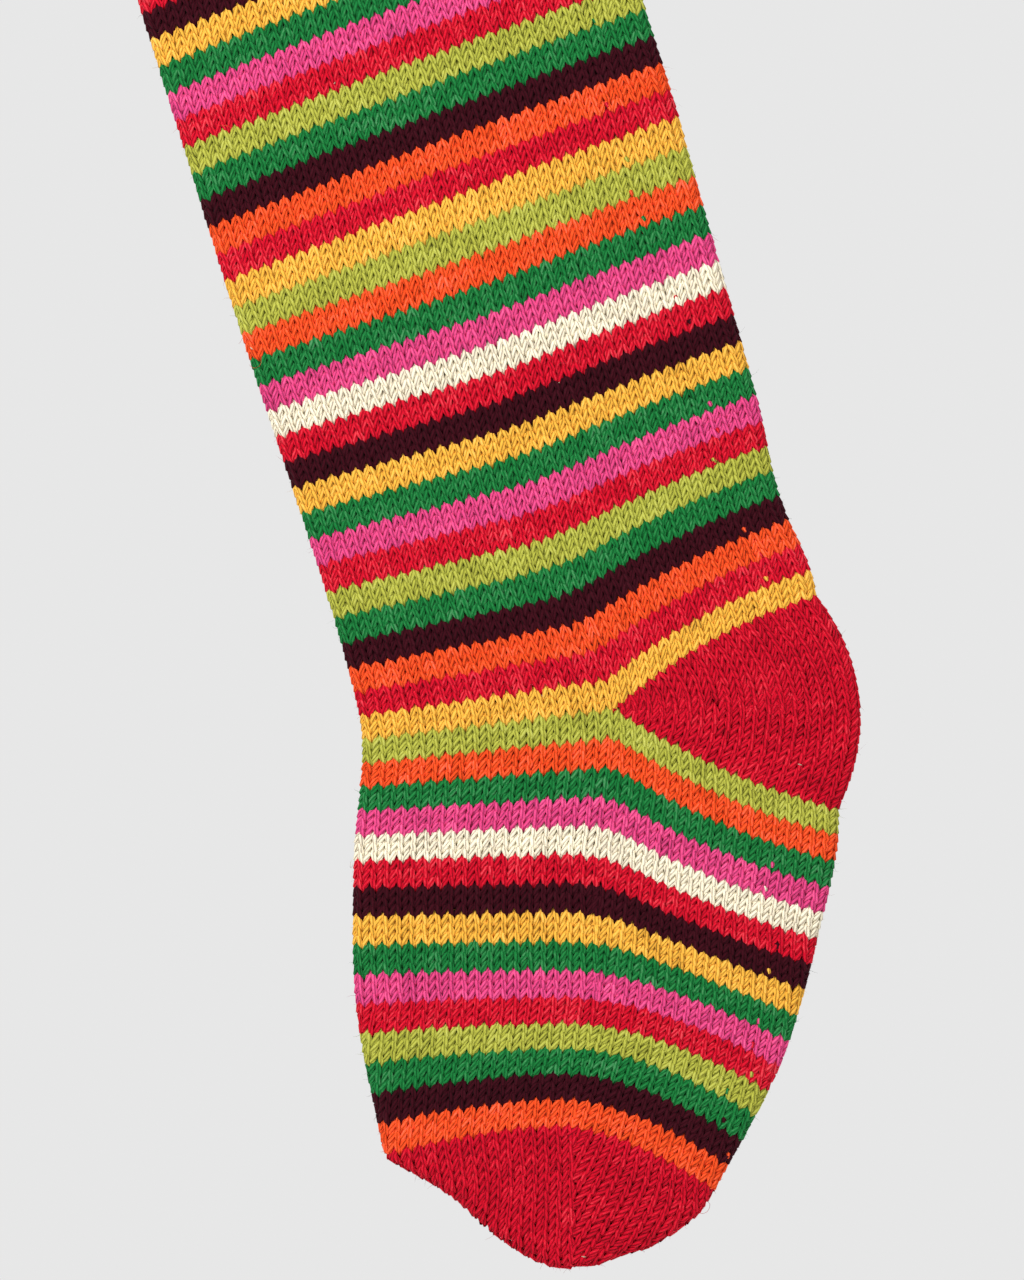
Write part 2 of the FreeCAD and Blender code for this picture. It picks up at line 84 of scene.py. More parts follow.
class Wool(Enum):
    """The yarns, each with its colour as linear red, green and blue."""

    RED = (0.620, 0.003, 0.021)
    PLUM = (0.040, 0.0012, 0.0060)
    YELLOW = (0.900, 0.445, 0.052)
    GREEN = (0.008, 0.180, 0.038)
    PINK = (0.720, 0.058, 0.215)
    LIME = (0.420, 0.430, 0.055)
    ORANGE = (0.900, 0.080, 0.014)
    CREAM = (0.900, 0.780, 0.590)

    @property
    def slot(self) -> str:
        """The record's material slot for this yarn."""
        return f"{self.name.lower()}_wool"


PERIOD = (
    "yellow lime orange green pink cream red plum yellow "
    "green pink red lime green plum orange red"
).split()
LEG_COLOURS = PERIOD + PERIOD + ["yellow"]
FOOT_COLOURS = PERIOD[1:16]


@dataclass(frozen=True)
class WoolFinish:
    """Worsted wool: soft plies twisted round each other, heathered, with a bloom of fine fibre; its colour
    carries painted shade in the ply grooves and a painted sheen on the fibre streaks.
    """

    wool: Wool
    roughness: float = 0.86
    sheen: float = 0.10
    twist: float = 0.22
    # Painted sheen: a whitish lift added to the colour of the brightest fibre streaks.
    painted_sheen: float = 0.07
    ply_depth: float = 0.00030
    fibre_depth: float = 0.00015

    def build(self) -> bpy.types.Material:
        """Makes the material.

        Returns:
            A node material that reads only the yarn's own UV map and attributes.
        """
        material = bpy.data.materials.new(f"wool_{self.wool.name.lower()}")
        material.use_nodes = True
        tree = material.node_tree
        nodes, links = tree.nodes, tree.links
        shader = nodes["Principled BSDF"]
        shader.inputs["Roughness"].default_value = self.roughness
        shader.inputs["Specular IOR Level"].default_value = 0.10
        shader.inputs["Sheen Weight"].default_value = self.sheen
        shader.inputs["Sheen Roughness"].default_value = 0.45
        light = [min(1.0, 0.8 * c + 0.12) for c in self.wool.value]
        shader.inputs["Sheen Tint"].default_value = (*light, 1.0)

        def node(kind: str, **settings: object) -> bpy.types.Node:
            """Adds one node with its settings."""
            made = nodes.new(kind)
            for name, value in settings.items():
                setattr(made, name, value)
            return made

        def maths(operation: str, a: object, b: object = None) -> bpy.types.NodeSocket:
            """Adds a Math node between sockets or numbers and returns its output."""
            made = node("ShaderNodeMath", operation=operation)
            for socket, value in zip(made.inputs, (a, b)):
                if value is None:
                    continue
                if isinstance(value, (int, float)):
                    socket.default_value = value
                else:
                    links.new(value, socket)
            return made.outputs[0]

        uv = node("ShaderNodeUVMap", uv_map="yarn")
        split = node("ShaderNodeSeparateXYZ")
        links.new(uv.outputs["UV"], split.inputs[0])
        along, around = split.outputs["X"], split.outputs["Y"]
        phase = maths("ADD", maths("MULTIPLY", around, 4.0), maths("MULTIPLY", along, self.twist))
        ply = maths("POWER", maths("ABSOLUTE", maths("SINE", maths("MULTIPLY", phase, math.pi))), 0.7)
        fibre_place = node("ShaderNodeCombineXYZ")
        links.new(maths("MULTIPLY", along, 0.5), fibre_place.inputs[0])
        links.new(maths("MULTIPLY", phase, 3.5), fibre_place.inputs[1])
        fibre = node("ShaderNodeTexNoise")
        fibre.inputs["Scale"].default_value = 1.6
        fibre.inputs["Detail"].default_value = 3.0
        fibre.inputs["Roughness"].default_value = 0.65
        links.new(fibre_place.outputs[0], fibre.inputs["Vector"])
        tone = node("ShaderNodeAttribute", attribute_name="tone", attribute_type="GEOMETRY")
        # lightness is low in the grooves between plies, so the ramp paints shade there; random tone and fibre
        # streaks also move it.
        lightness = maths("ADD", maths("MULTIPLY", ply, 0.45), maths("MULTIPLY", fibre.outputs["Fac"], 0.80))
        lightness = maths("ADD", lightness, maths("MULTIPLY", tone.outputs["Fac"], 0.09))
        ramp = node("ShaderNodeValToRGB")
        links.new(lightness, ramp.inputs[0])
        base = np.array(self.wool.value)
        stops = ramp.color_ramp.elements
        # The bottom stop is painted shade in the ply grooves; the top stop is a painted sheen of pale fibre
        # highlights.
        stops[0].position, stops[0].color = 0.30, (*(base * 0.22), 1)
        # This lifts the ramp's top stop towards white as a painted sheen of fibre highlights, strongest on
        # the bright yarns.
        painted_sheen = self.painted_sheen * min(1.0, base.max() / 0.18) ** 2
        stops[1].position, stops[1].color = 1.0, (*np.clip(base * 1.15 + painted_sheen, 0, 1), 1)
        for position, factor in ((0.62, 0.80), (0.82, 1.10)):
            stop = stops.new(position)
            stop.color = (*np.clip(base * factor, 0, 0.95), 1)
        straw = node("ShaderNodeMix", data_type="RGBA")
        links.new(maths("GREATER_THAN", tone.outputs["Fac"], STRAW_TONE - 1), straw.inputs[0])
        links.new(ramp.outputs[0], straw.inputs[6])
        straw.inputs[7].default_value = STRAW_COLOUR
        links.new(straw.outputs[2], shader.inputs["Base Color"])
        ply_bump = node("ShaderNodeBump")
        ply_bump.inputs["Strength"].default_value = 1.0
        ply_bump.inputs["Distance"].default_value = self.ply_depth
        links.new(ply, ply_bump.inputs["Height"])
        fibre_bump = node("ShaderNodeBump")
        fibre_bump.inputs["Strength"].default_value = 1.0
        fibre_bump.inputs["Distance"].default_value = self.fibre_depth
        links.new(fibre.outputs["Fac"], fibre_bump.inputs["Height"])
        links.new(ply_bump.outputs[0], fibre_bump.inputs["Normal"])
        links.new(fibre_bump.outputs[0], shader.inputs["Normal"])
        return material


def eased(rows: Sequence[Sequence[float]], line: np.ndarray, column: int, past: float = 0.5) -> np.ndarray:
    """Values of a column at line numbers, on a smooth curve through the rows.

    Args:
        rows: rows that start with their line number.
        line: line numbers, of any shape.
        column: the column to read.
        past: how far the curve goes on past the last row.

    Returns:
        An array shaped like line.
    """
    at_lines = np.array([row[0] for row in rows], float)
    values = np.array([row[column] for row in rows], float)
    last = len(rows) - 1
    before, after = np.maximum(np.arange(last + 1) - 1, 0), np.minimum(np.arange(last + 1) + 1, last)
    steepness = (values[after] - values[before]) / (at_lines[after] - at_lines[before])
    line = np.clip(line, at_lines[0], at_lines[-1] + past)
    at = np.clip(np.searchsorted(at_lines, line, side="right") - 1, 0, last - 1)
    span = at_lines[at + 1] - at_lines[at]
    u = (line - at_lines[at]) / span
    rise = values[at + 1] - values[at]
    start, end = steepness[at] * span, steepness[at + 1] * span
    return values[at] + u * start + u * u * (3 * rise - 2 * start - end) + u**3 * (start + end - 2 * rise)


def heading(angle: np.ndarray | float) -> np.ndarray:
    """x and z of a unit vector that rises by the angle, in degrees, towards the heel side."""
    turn = np.radians(angle)
    return np.stack([np.cos(turn), np.sin(turn)], -1)


@dataclass
class Halves:
    """Courses as arrays: front end, middle, back end, the bows of the two halves, and thickness.

    Easing is how far the bend at the middle is rounded off, from 0 to 1.
    """

    front: np.ndarray
    middle: np.ndarray
    back: np.ndarray
    front_bow: np.ndarray
    back_bow: np.ndarray
    thickness: np.ndarray
    easing: np.ndarray | float = 0.0


@dataclass
class Outline:
    """The shape of the hanging stocking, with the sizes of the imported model, in millimetres."""

    leg_width: float = 185.0
    leg_thickness: float = 22.0
    foot_thickness: float = 26.0
    fold_radius: float = 6.0
    fabric_wall: float = 3.0
    leg_tilt: float = 17.2
    course_slope: float = 20.0
    stripe_height: float = 10.76
    cuff_length: float = 27.0
    cuff_wall: float = 4.4
    mouth_width: float = 183.0
    mouth_thickness: float = 36.0
    mouth_fold_radius: float = 16.0
    heel_bulge: float = 12.5
    toe_length: float = 54.0
    tip_width: float = 21.0
    tip_thickness: float = 13.0
    strap_thickness: float = 3.0
    end_play: float = 1.7
    loop_drop: float = 60.0
    rim_drop: float = 4.0
    easing: float = 16.0
    pinhole_gap: float = 0.95
    pinhole_width: float = 0.42
    pinhole_height: float = 2.6
    front_lines: tuple = (
        (17, 17.2, 1.00, 20.0, 1.00, 0.0),
        (20, 17.6, 0.985, 17.4, 0.99, 0.0),
        (27, 18.3, 0.96, 14.0, 0.97, 0.0),
        (31, 17.1, 0.975, 12.0, 0.97, 0.0),
        (35, 12.3, 0.875, 7.0, 1.045, 0.0),
        (40, -3.8, 0.87, 2.2, 1.02, 0.0),
        (45, 0.8, 1.02, 2.0, 1.00, 1.0),
        (50, 10.6, 1.09, 10.0, 0.80, 2.2),
    )
    back_leg_lines: tuple = (
        (17, 20.0, 1.00, 0.0),
        (27, 21.8, 0.98, 1.0),
        (31, 25.5, 0.96, 2.5),
        (35, 29.0, 0.965, 4.9),
    )
    back_foot_lines: tuple = (
        (35, -24.0, 1.025, -4.0),
        (40, -21.7, 0.97, -2.5),
        (45, -21.3, 0.81, 3.0),
        (50, -26.7, 0.65, 3.0),
    )
    toe_courses: tuple = (
        (0.33, 0.30, 10.0, -23.0),
        (0.66, 0.61, 10.5, -22.0),
        (0.88, 0.86, 11.0, -12.0),
    )
    front_lost: tuple = ((120, 135, 150, 165), (0.0, 0.0, 3.5, 16.6))
    back_lost: tuple = ((120, 135, 150, 165), (0.0, 3.5, 6.5, 16.6))
    hinge: np.ndarray = field(init=False)
    along: np.ndarray = field(init=False)
    outwards: np.ndarray = field(init=False)
    cuff_foot: np.ndarray = field(init=False)
    front_points: list = field(init=False)

    def __post_init__(self) -> None:
        """Works out the rim, and walks down the front fold from it."""
        self.hinge = np.array([0.0, -self.loop_drop])
        self.along = heading(self.leg_tilt - 90)
        self.outwards = heading(self.leg_tilt)
        inset = self.strap_thickness + self.end_play + self.cuff_wall
        corner = self.hinge + self.outwards * inset + self.along * self.rim_drop
        rim_middle = corner - heading(self.course_slope) * self.mouth_width / 2
        self.cuff_foot = rim_middle + self.along * self.cuff_length
        point = self.cuff_foot - heading(self.course_slope) * self.leg_width / 2
        line = 0
        self.front_points = [(line, *point)]
        for row in self.front_lines:
            point = point + heading(row[1] - 90) * self.stripe_height * row[2] * (row[0] - line)
            line = row[0]
            self.front_points.append((line, *point))

    def courses(self, line: np.ndarray, on_foot: np.ndarray) -> Halves:
        """Courses at line numbers.

        Args:
            line: line numbers; below 0 is the cuff, up to its rim.
            on_foot: whether each course belongs to the foot, where the two share a line.

        Returns:
            The courses' points and sizes.
        """
        half = self.leg_width / 2
        start = np.array(self.front_points[0][1:])
        straight = start + self.along * (self.stripe_height * line)[..., None]
        curved = np.stack([eased(self.front_points, line, 1), eased(self.front_points, line, 2)], -1)
        front = np.where((line <= STRAIGHT_STRIPES)[..., None], straight, curved)
        reach = (half * eased(self.front_lines, line, 4))[..., None]
        middle = front + heading(eased(self.front_lines, line, 3)) * reach

        def back_value(column: int) -> np.ndarray:
            """Value of the heel half, from the foot's rows or the leg's."""
            foot, leg = eased(self.back_foot_lines, line, column), eased(self.back_leg_lines, line, column)
            return np.where(on_foot, foot, leg)

        back = middle + heading(back_value(1)) * (half * back_value(2))[..., None]
        down = np.clip((line - STRAIGHT_STRIPES) / (TOE_LINE - STRAIGHT_STRIPES), 0, 1)
        thickness = self.leg_thickness + (self.foot_thickness - self.leg_thickness) * down
        easing = np.clip(np.abs(line - HEEL_LINE) / 5, 0, 1)
        return Halves(front, middle, back, eased(self.front_lines, line, 5), back_value(3), thickness, easing)

    def laid(self, column: np.ndarray, halves: Halves, fold: np.ndarray | float, wall: float) -> np.ndarray:
        """Points on the middle of the fabric.

        Args:
            column: places round the tube in stitches: 0 is the front fold, 38 the heel-side fold.
            halves: the courses that the points lie on.
            fold: outside radius of the folds.
            wall: thickness of the fabric.

        Returns:
            An array of points, in millimetres.
        """
        column = np.mod(column, STITCHES)
        seen = np.where(column <= SIDE, column, STITCHES - column)
        on_heel_side = seen > QUARTER
        from_fold = np.where(on_heel_side, SIDE - seen, seen) / QUARTER
        inset = wall / 2
        front_width = np.linalg.norm(halves.middle - halves.front, axis=-1)
        back_width = np.linalg.norm(halves.back - halves.middle, axis=-1)
        width = np.where(on_heel_side, back_width, front_width)
        thick, radius = halves.thickness - 2 * inset, fold - inset
        reach = width - inset - radius
        face = (reach**2 + thick**2 / 4 - radius**2) / (thick - 2 * radius)
        lean = np.arctan2(face - thick / 2, reach)
        bend = radius * lean
        run = from_fold * (bend + face * (math.pi / 2 - lean))
        turn = np.minimum(run, bend) / radius
        flat = lean + np.maximum(run - bend, 0) / face
        in_fold = run < bend
        on_fold, on_face = radius - radius * np.cos(turn), radius + reach - face * np.cos(flat)
        distance = inset + np.where(in_fold, on_fold, on_face)
        depth = np.where(in_fold, radius * np.sin(turn), thick / 2 - face + face * np.sin(flat))
        along = np.where(on_heel_side, width - distance, distance - width)
        spread = self.easing * halves.easing * np.clip((width - np.abs(along)) / 40, 0, 1)
        spread = spread * np.clip(1.6 - np.abs(along) / 18, 0, 1)
        flat_place = sum(
            weight * self.on_course(halves, along + offset * spread)
            for offset, weight in ((-1.0, 1 / 9), (-0.5, 2 / 9), (0.0, 3 / 9), (0.5, 2 / 9), (1.0, 1 / 9)))
        side = np.where(column <= SIDE, -1.0, 1.0)
        return np.stack([flat_place[..., 0], side * depth, flat_place[..., 1]], -1)

    def on_course(self, halves: Halves, along: np.ndarray) -> np.ndarray:
        """Points of the plane on courses, at distances from their middles, towards the heel side."""
        forward = along > 0
        a = halves.middle
        b = np.where(forward[..., None], halves.back, halves.front)
        chord = b - a
        length = np.linalg.norm(chord, axis=-1)
        share = np.abs(along) / length
        bow = np.where(forward, halves.back_bow, halves.front_bow)
        up = np.stack([-chord[..., 1], chord[..., 0]], -1) / length[..., None]
        up = up * np.where(forward, 1.0, -1.0)[..., None]
        return a + chord * share[..., None] + up * (4 * bow * share * (1 - share))[..., None]

    def tube(self, on_foot: bool) -> Surface:
        """Surface of the leg or the foot, over columns and rounds.

        Args:
            on_foot: whether it is the foot, below the heel.

        Returns:
            A function from columns and rounds to points.
        """
        def surface(column: np.ndarray, rounds: np.ndarray) -> np.ndarray:
            """Points of the tube."""
            line = rounds / ROUNDS_PER_STRIPE
            halves = self.courses(line, np.full(line.shape, on_foot))
            return self.laid(column, halves, self.fold_radius, self.fabric_wall)
        return surface

    def cuff(self, rows: int) -> Surface:
        """Surface of the cuff, over columns and its rows from the rim down."""
        def surface(column: np.ndarray, row: np.ndarray) -> np.ndarray:
            """Points of the cuff."""
            up = 1 - row / rows
            halves = self.courses(np.zeros_like(up), np.zeros(up.shape, bool))
            shift = -self.along * (self.cuff_length * up)[..., None]
            grow = ((self.mouth_width - self.leg_width) / 2 * up)[..., None] * heading(self.course_slope)
            rim = Halves(halves.front + shift - grow, halves.middle + shift, halves.back + shift + grow,
                         halves.front_bow, halves.back_bow,
                         self.leg_thickness + (self.mouth_thickness - self.leg_thickness) * up)
            fold = self.fold_radius + (self.mouth_fold_radius - self.fold_radius) * up
            return self.laid(column, rim, fold, self.cuff_wall)
        return surface

    def lost(self, quarter: np.ndarray, rounds: np.ndarray) -> np.ndarray:
        """Stitches that each quarter has lost by a round, as the foot and the toe narrow."""
        on_front = (quarter == 0) | (quarter == 3)
        return np.where(on_front, np.interp(rounds, *self.front_lost), np.interp(rounds, *self.back_lost))

    def column(self, place: np.ndarray, rounds: np.ndarray) -> np.ndarray:
        """Columns of places on the foot and the toe.

        Args:
            place: stitches counted from 0 at the start of each quarter, and a further NEXT_QUARTER
                in each.
            rounds: the round of each place.

        Returns:
            Columns, spread evenly over the stitches that each quarter still has.
        """
        quarter = np.clip(np.floor((place + 10) / NEXT_QUARTER), 0, 3)
        lost = self.lost(quarter, rounds)
        from_start = place - NEXT_QUARTER * quarter - lost * np.array(LOST_AT_START)[quarter.astype(int)]
        share = from_start / (QUARTER - lost)
        return (quarter + np.clip(share, -QUARTER_OVERLAP, 1 + QUARTER_OVERLAP)) * QUARTER

    def foot(self) -> Surface:
        """Surface of the foot and the toe, over places and rounds."""
        tube, toe = self.tube(True), self.toe()
        last = TOE_LINE * ROUNDS_PER_STRIPE

        def surface(place: np.ndarray, rounds: np.ndarray) -> np.ndarray:
            """Points of the foot, then of the toe."""
            column = self.column(place, rounds)
            on_toe = (rounds > last)[..., None]
            return np.where(on_toe, toe(column, (rounds - last) / TOE_ROUNDS), tube(column, rounds))
        return surface

    def past_line(self, column: np.ndarray, line: int, on_foot: bool, rounds: np.ndarray) -> np.ndarray:
        """How far the tube's points move from a line when they go a number of rounds past it."""
        tube = self.tube(on_foot)
        at_line = np.full(column.shape, float(line * ROUNDS_PER_STRIPE))
        return tube(column, at_line + rounds) - tube(column, at_line)

    def heel(self, rows: int, step: float) -> Surface:
        """Surface of the heel, over columns and rows.

        Args:
            rows: all its rows, half of them above its seam.
            step: stitches between one turn of the short rows and the next.

        Returns:
            A function that fits fewer rows in towards the corners of the pouch.
        """
        upper = self.courses(np.array([float(HEEL_LINE)]), np.array([False]))
        lower = self.courses(np.array([float(HEEL_LINE)]), np.array([True]))
        drop = lower.back - upper.back
        out = np.stack([-drop[:, 1], drop[:, 0]], -1) / np.linalg.norm(drop, axis=-1, keepdims=True)
        half = rows // 2

        def surface(column: np.ndarray, row: np.ndarray) -> np.ndarray:
            """Points of the heel."""
            corner = np.maximum(np.minimum(column - QUARTER, QUARTER + SIDE - column), 0.1)
            far_side = 0.5 * (column > SIDE)
            rows_here = np.minimum(corner * 2 / step, half)
            above = 0.5 * np.clip(row, 0, None) / rows_here
            below = 1 - 0.5 * np.clip(rows - row, 0, None) / rows_here
            share = np.where(row <= half, above, below)
            height = 2 * rows_here * ROUND_HEIGHT
            from_seam = (share - 0.5) * height
            turn = corner / step - far_side
            turn = turn - np.round(turn)
            spread = (turn * step / self.pinhole_width) ** 2 + (from_seam / self.pinhole_height) ** 2
            hole = self.pinhole_gap * np.exp(-spread)
            hole = hole * (corner < half * step / 2) * (corner > 1.0)
            share = np.clip(share + np.sign(row - half) * hole / height, 0, 1)
            bulge = out * (4 * self.heel_bulge * share * (1 - share))[..., None]
            ones = np.ones_like(share)
            halves = Halves(
                upper.front * ones[..., None], upper.middle * ones[..., None],
                upper.back + drop * share[..., None] + bulge, upper.front_bow * ones,
                upper.back_bow + (lower.back_bow - upper.back_bow) * share, upper.thickness * ones)
            points = self.laid(column, halves, self.fold_radius, self.fabric_wall)
            points = points + self.past_line(column, HEEL_LINE, False, np.clip(row, None, 0))
            return points + self.past_line(column, HEEL_LINE, True, np.clip(row - rows, 0, None))
        return surface

    def toe(self) -> Surface:
        """Surface of the toe, over columns and the share of its length, a little past its end."""
        first = self.courses(np.array([float(TOE_LINE)]), np.array([True]))
        middle = first.middle[0]
        half = (np.linalg.norm(middle - first.front[0]) + np.linalg.norm(first.back[0] - middle)) / 2
        tip = middle + np.array([0, -self.toe_length])
        rows = [(0.0, *first.front[0], *middle, *first.back[0], 0.0)]
        for down, moved_in, front_slope, back_slope in self.toe_courses:
            at = middle + (tip - middle) * down
            width = half * (1 - moved_in) + self.tip_width / 2 * moved_in
            rows.append((down, *(at - heading(front_slope) * width), *at,
                         *(at + heading(back_slope) * width), moved_in))
        reach = np.array([self.tip_width / 2, 0])
        rows.append((1.0, *(tip - reach), *tip, *(tip + reach), 1.0))

        def surface(column: np.ndarray, share: np.ndarray) -> np.ndarray:
            """Points of the toe."""
            value = [eased(rows, share, i, past=0.0) for i in range(1, 8)]
            past = np.clip(share - 1, 0, 0.2) / 0.2
            thickness = first.thickness + (self.tip_thickness - first.thickness) * value[6]
            halves = Halves(
                np.stack(value[0:2], -1), np.stack(value[2:4], -1), np.stack(value[4:6], -1),
                first.front_bow * (1 - value[6]), first.back_bow * (1 - value[6]), thickness,
                np.clip(1 - 2 * share, 0, 1))
            points = self.laid(column, halves, self.fold_radius, self.fabric_wall)
            centre = np.array([tip[0], 0, tip[1] + 0.5])
            drawn = (past**0.8)[..., None]
            nipple = np.array([0, 0, 1.2]) * past[..., None]
            return points * (1 - drawn) + centre * drawn - nipple
        return surface


@dataclass(frozen=True)
class Loop:
    """The shape of one stitch, from the middle of one sinker loop behind the fabric to the next.

    Each row is a place across the stitch, its height from the stitch's centre in rows (down is
    positive), its depth in yarn radii and its thickness as a share of the yarn's. The second half
    of the stitch mirrors the first.
    """

    half: tuple = (
        (0.00, -1.08, -1.10, 0.76),
        (0.41, -0.82, -0.15, 0.78),
        (0.345, -0.30, 0.95, 1.04),
        (0.165, 0.36, 1.00, 1.06),
        (0.09, 0.88, -0.10, 0.80),
        (0.50, 1.14, -1.10, 0.76),
    )

    def path(self) -> np.ndarray:
        """The whole stitch's rows: place across, height, depth and thickness."""
        first = np.array(self.half)
        second = first[-2:0:-1].copy()
        second[:, 0] = 1 - second[:, 0]
        return np.concatenate([first, second])


def wander(values: np.ndarray, seed: int, wave: float) -> np.ndarray:
    """Smooth wandering between about -1 and 1, for the unevenness of hand work.

    Args:
        values: places along a line.
        seed: picks the pattern.
        wave: length of one wave.

    Returns:
        An array shaped like values.
    """
    source = np.random.default_rng(SEED + seed)
    total = np.zeros_like(values)
    for _ in range(4):
        length, phase = wave * source.uniform(0.6, 1.7), source.uniform(0, 6.3)
        total = total + np.sin(values * 2 * math.pi / length + phase)
    return total / 2.6


@dataclass
class YarnPiece:
    """One piece of knitting: tubes of yarn and loose fibres, gathered into one mesh."""

    name: str
    wool: Wool
    seed: int
    sides: int = 6
    verts: list = field(default_factory=list)
    quads: list = field(default_factory=list)
    quad_uvs: list = field(default_factory=list)
    tris: list = field(default_factory=list)
    tones: list = field(default_factory=list)
    count: int = 0

    def add_tube(self, line: np.ndarray, normal: np.ndarray, radius: np.ndarray, tone: np.ndarray,
                 flat: float = 0.86) -> None:
        """Adds a tube of yarn with drawn-in ends.

        Args:
            line: points of the yarn's middle, in millimetres.
            normal: outward direction of the fabric at each point.
            radius: half the yarn's thickness at each point.
            tone: lightness of each point, about -1 to 1.
            flat: thickness of the yarn through the fabric, as a share of its width.
        """
        tangent = np.gradient(line, axis=0)
        tangent /= np.linalg.norm(tangent, axis=1, keepdims=True)
        across = np.cross(tangent, normal)
        across /= np.linalg.norm(across, axis=1, keepdims=True)
        out = np.cross(across, tangent)
        radius = radius.copy()
        radius[0] *= 0.25
        radius[-1] *= 0.25
        angle = np.arange(self.sides) / self.sides * 2 * math.pi - math.pi / 2
        ring = (across[:, None, :] * np.cos(angle)[None, :, None]
                + out[:, None, :] * (flat * np.sin(angle))[None, :, None])
        verts = line[:, None, :] + ring * radius[:, None, None]
        n = len(line)
        index = self.count + np.arange(n * self.sides).reshape(n, self.sides)
        following = np.roll(index, -1, axis=1)
        quads = np.stack([index[:-1], index[1:], following[1:], following[:-1]], -1).reshape(-1, 4)
        length = np.concatenate([[0], np.cumsum(np.linalg.norm(np.diff(line, axis=0), axis=1))])
        v0 = np.tile(np.arange(self.sides) / self.sides, (n - 1, 1))
        v1 = v0 + 1 / self.sides
        u0 = np.repeat(length[:-1, None], self.sides, 1)
        u1 = np.repeat(length[1:, None], self.sides, 1)
        uv = np.stack([np.stack([u0, v0], -1), np.stack([u1, v0], -1), np.stack([u1, v1], -1),
                       np.stack([u0, v1], -1)], 2).reshape(-1, 4, 2)
        self.verts.append(verts.reshape(-1, 3))
        self.quads.append(quads)
        self.quad_uvs.append(uv)
        self.tones.append(np.repeat(tone, self.sides))
        for end, order in ((0, 1), (n - 1, -1)):
            rim = index[end][::order]
            self.tris.append(np.stack([np.full(self.sides - 2, rim[0]), rim[1:-1], rim[2:]], -1))
        self.count += n * self.sides

    def add_fibres(self, places: np.ndarray, normals: np.ndarray, length: float) -> None:
        """Adds fine fibres that stand out of the yarn, each a closed three-sided spike with a bend.

        Args:
            places: where the fibres start, in millimetres.
            normals: outward direction at each place.
            length: mean length of a fibre.
        """
        source = np.random.default_rng(SEED + self.seed + 7000)
        n = len(places)
        lean = normals + source.normal(0, 0.9, (n, 3))
        lean /= np.linalg.norm(lean, axis=1, keepdims=True)
        turn = lean + source.normal(0, 0.8, (n, 3))
        turn /= np.linalg.norm(turn, axis=1, keepdims=True)
        size = (length * source.gamma(2.2, 0.45, n))[:, None]
        half = size * 0.5
        middle = places + lean * half
        tip = middle + turn * half
        wide = source.uniform(0.03, 0.06, n)[:, None]
        side = np.cross(lean, [0.3, 0.5, 0.81])
        side /= np.linalg.norm(side, axis=1, keepdims=True)
        other = np.cross(lean, side)
        corners = [side, -0.5 * side + 0.87 * other, -0.5 * side - 0.87 * other]
        verts = np.stack([places + c * wide for c in corners] + [middle + c * wide * 0.8 for c in corners]
                         + [tip], 1)
        first = (self.count + np.arange(n) * 7)[:, None, None]
        pattern = np.array([[0, 1, 4], [0, 4, 3], [1, 2, 5], [1, 5, 4], [2, 0, 3], [2, 3, 5],
                            [3, 4, 6], [4, 5, 6], [5, 3, 6], [0, 2, 1]])
        self.verts.append(verts.reshape(-1, 3))
        self.tris.append((first + pattern[None]).reshape(-1, 3))
        self.tones.append(np.repeat(source.uniform(0.2, 1.2, n), 7))
        self.count += n * 7

    def add_hair(self, start: np.ndarray, normal: np.ndarray, source: np.random.Generator) -> None:
        """Adds one long stray hair that curls over the fabric.

        Args:
            start: where it comes out, in millimetres.
            normal: outward direction of the fabric there.
            source: the random numbers that shape it.
        """
        steps = 12
        side = np.cross(normal, source.normal(0, 1, 3))
        side /= np.linalg.norm(side)
        other = np.cross(normal, side)
        bend = source.uniform(0.12, 0.5) * source.choice([-1, 1])
        turn = np.cumsum(bend + source.normal(0, 0.12, steps))
        reach = source.uniform(0.6, 1.1)
        path = np.cumsum(reach * (np.cos(turn)[:, None] * side + np.sin(turn)[:, None] * other), axis=0)
        lift = normal * (0.5 * np.sin(np.linspace(0, math.pi, steps)))[:, None]
        normals = np.tile(normal, (steps, 1))
        self.add_tube(start + path + lift, normals, np.full(steps, 0.075), np.full(steps, 3.0))

    def add_fleck(self, place: np.ndarray, normal: np.ndarray, source: np.random.Generator) -> None:
        """Adds a short fleck of straw that lies on the fabric.

        Args:
            place: its middle, in millimetres.
            normal: outward direction of the fabric there.
            source: the random numbers that turn it.
        """
        turn = np.cross(normal, source.normal(0, 1, 3))
        ends = np.linspace(-0.9, 0.9, 3)[:, None] * turn / np.linalg.norm(turn)
        self.add_tube(place + ends, np.tile(normal, (3, 1)), np.full(3, 0.26), np.full(3, STRAW_TONE))

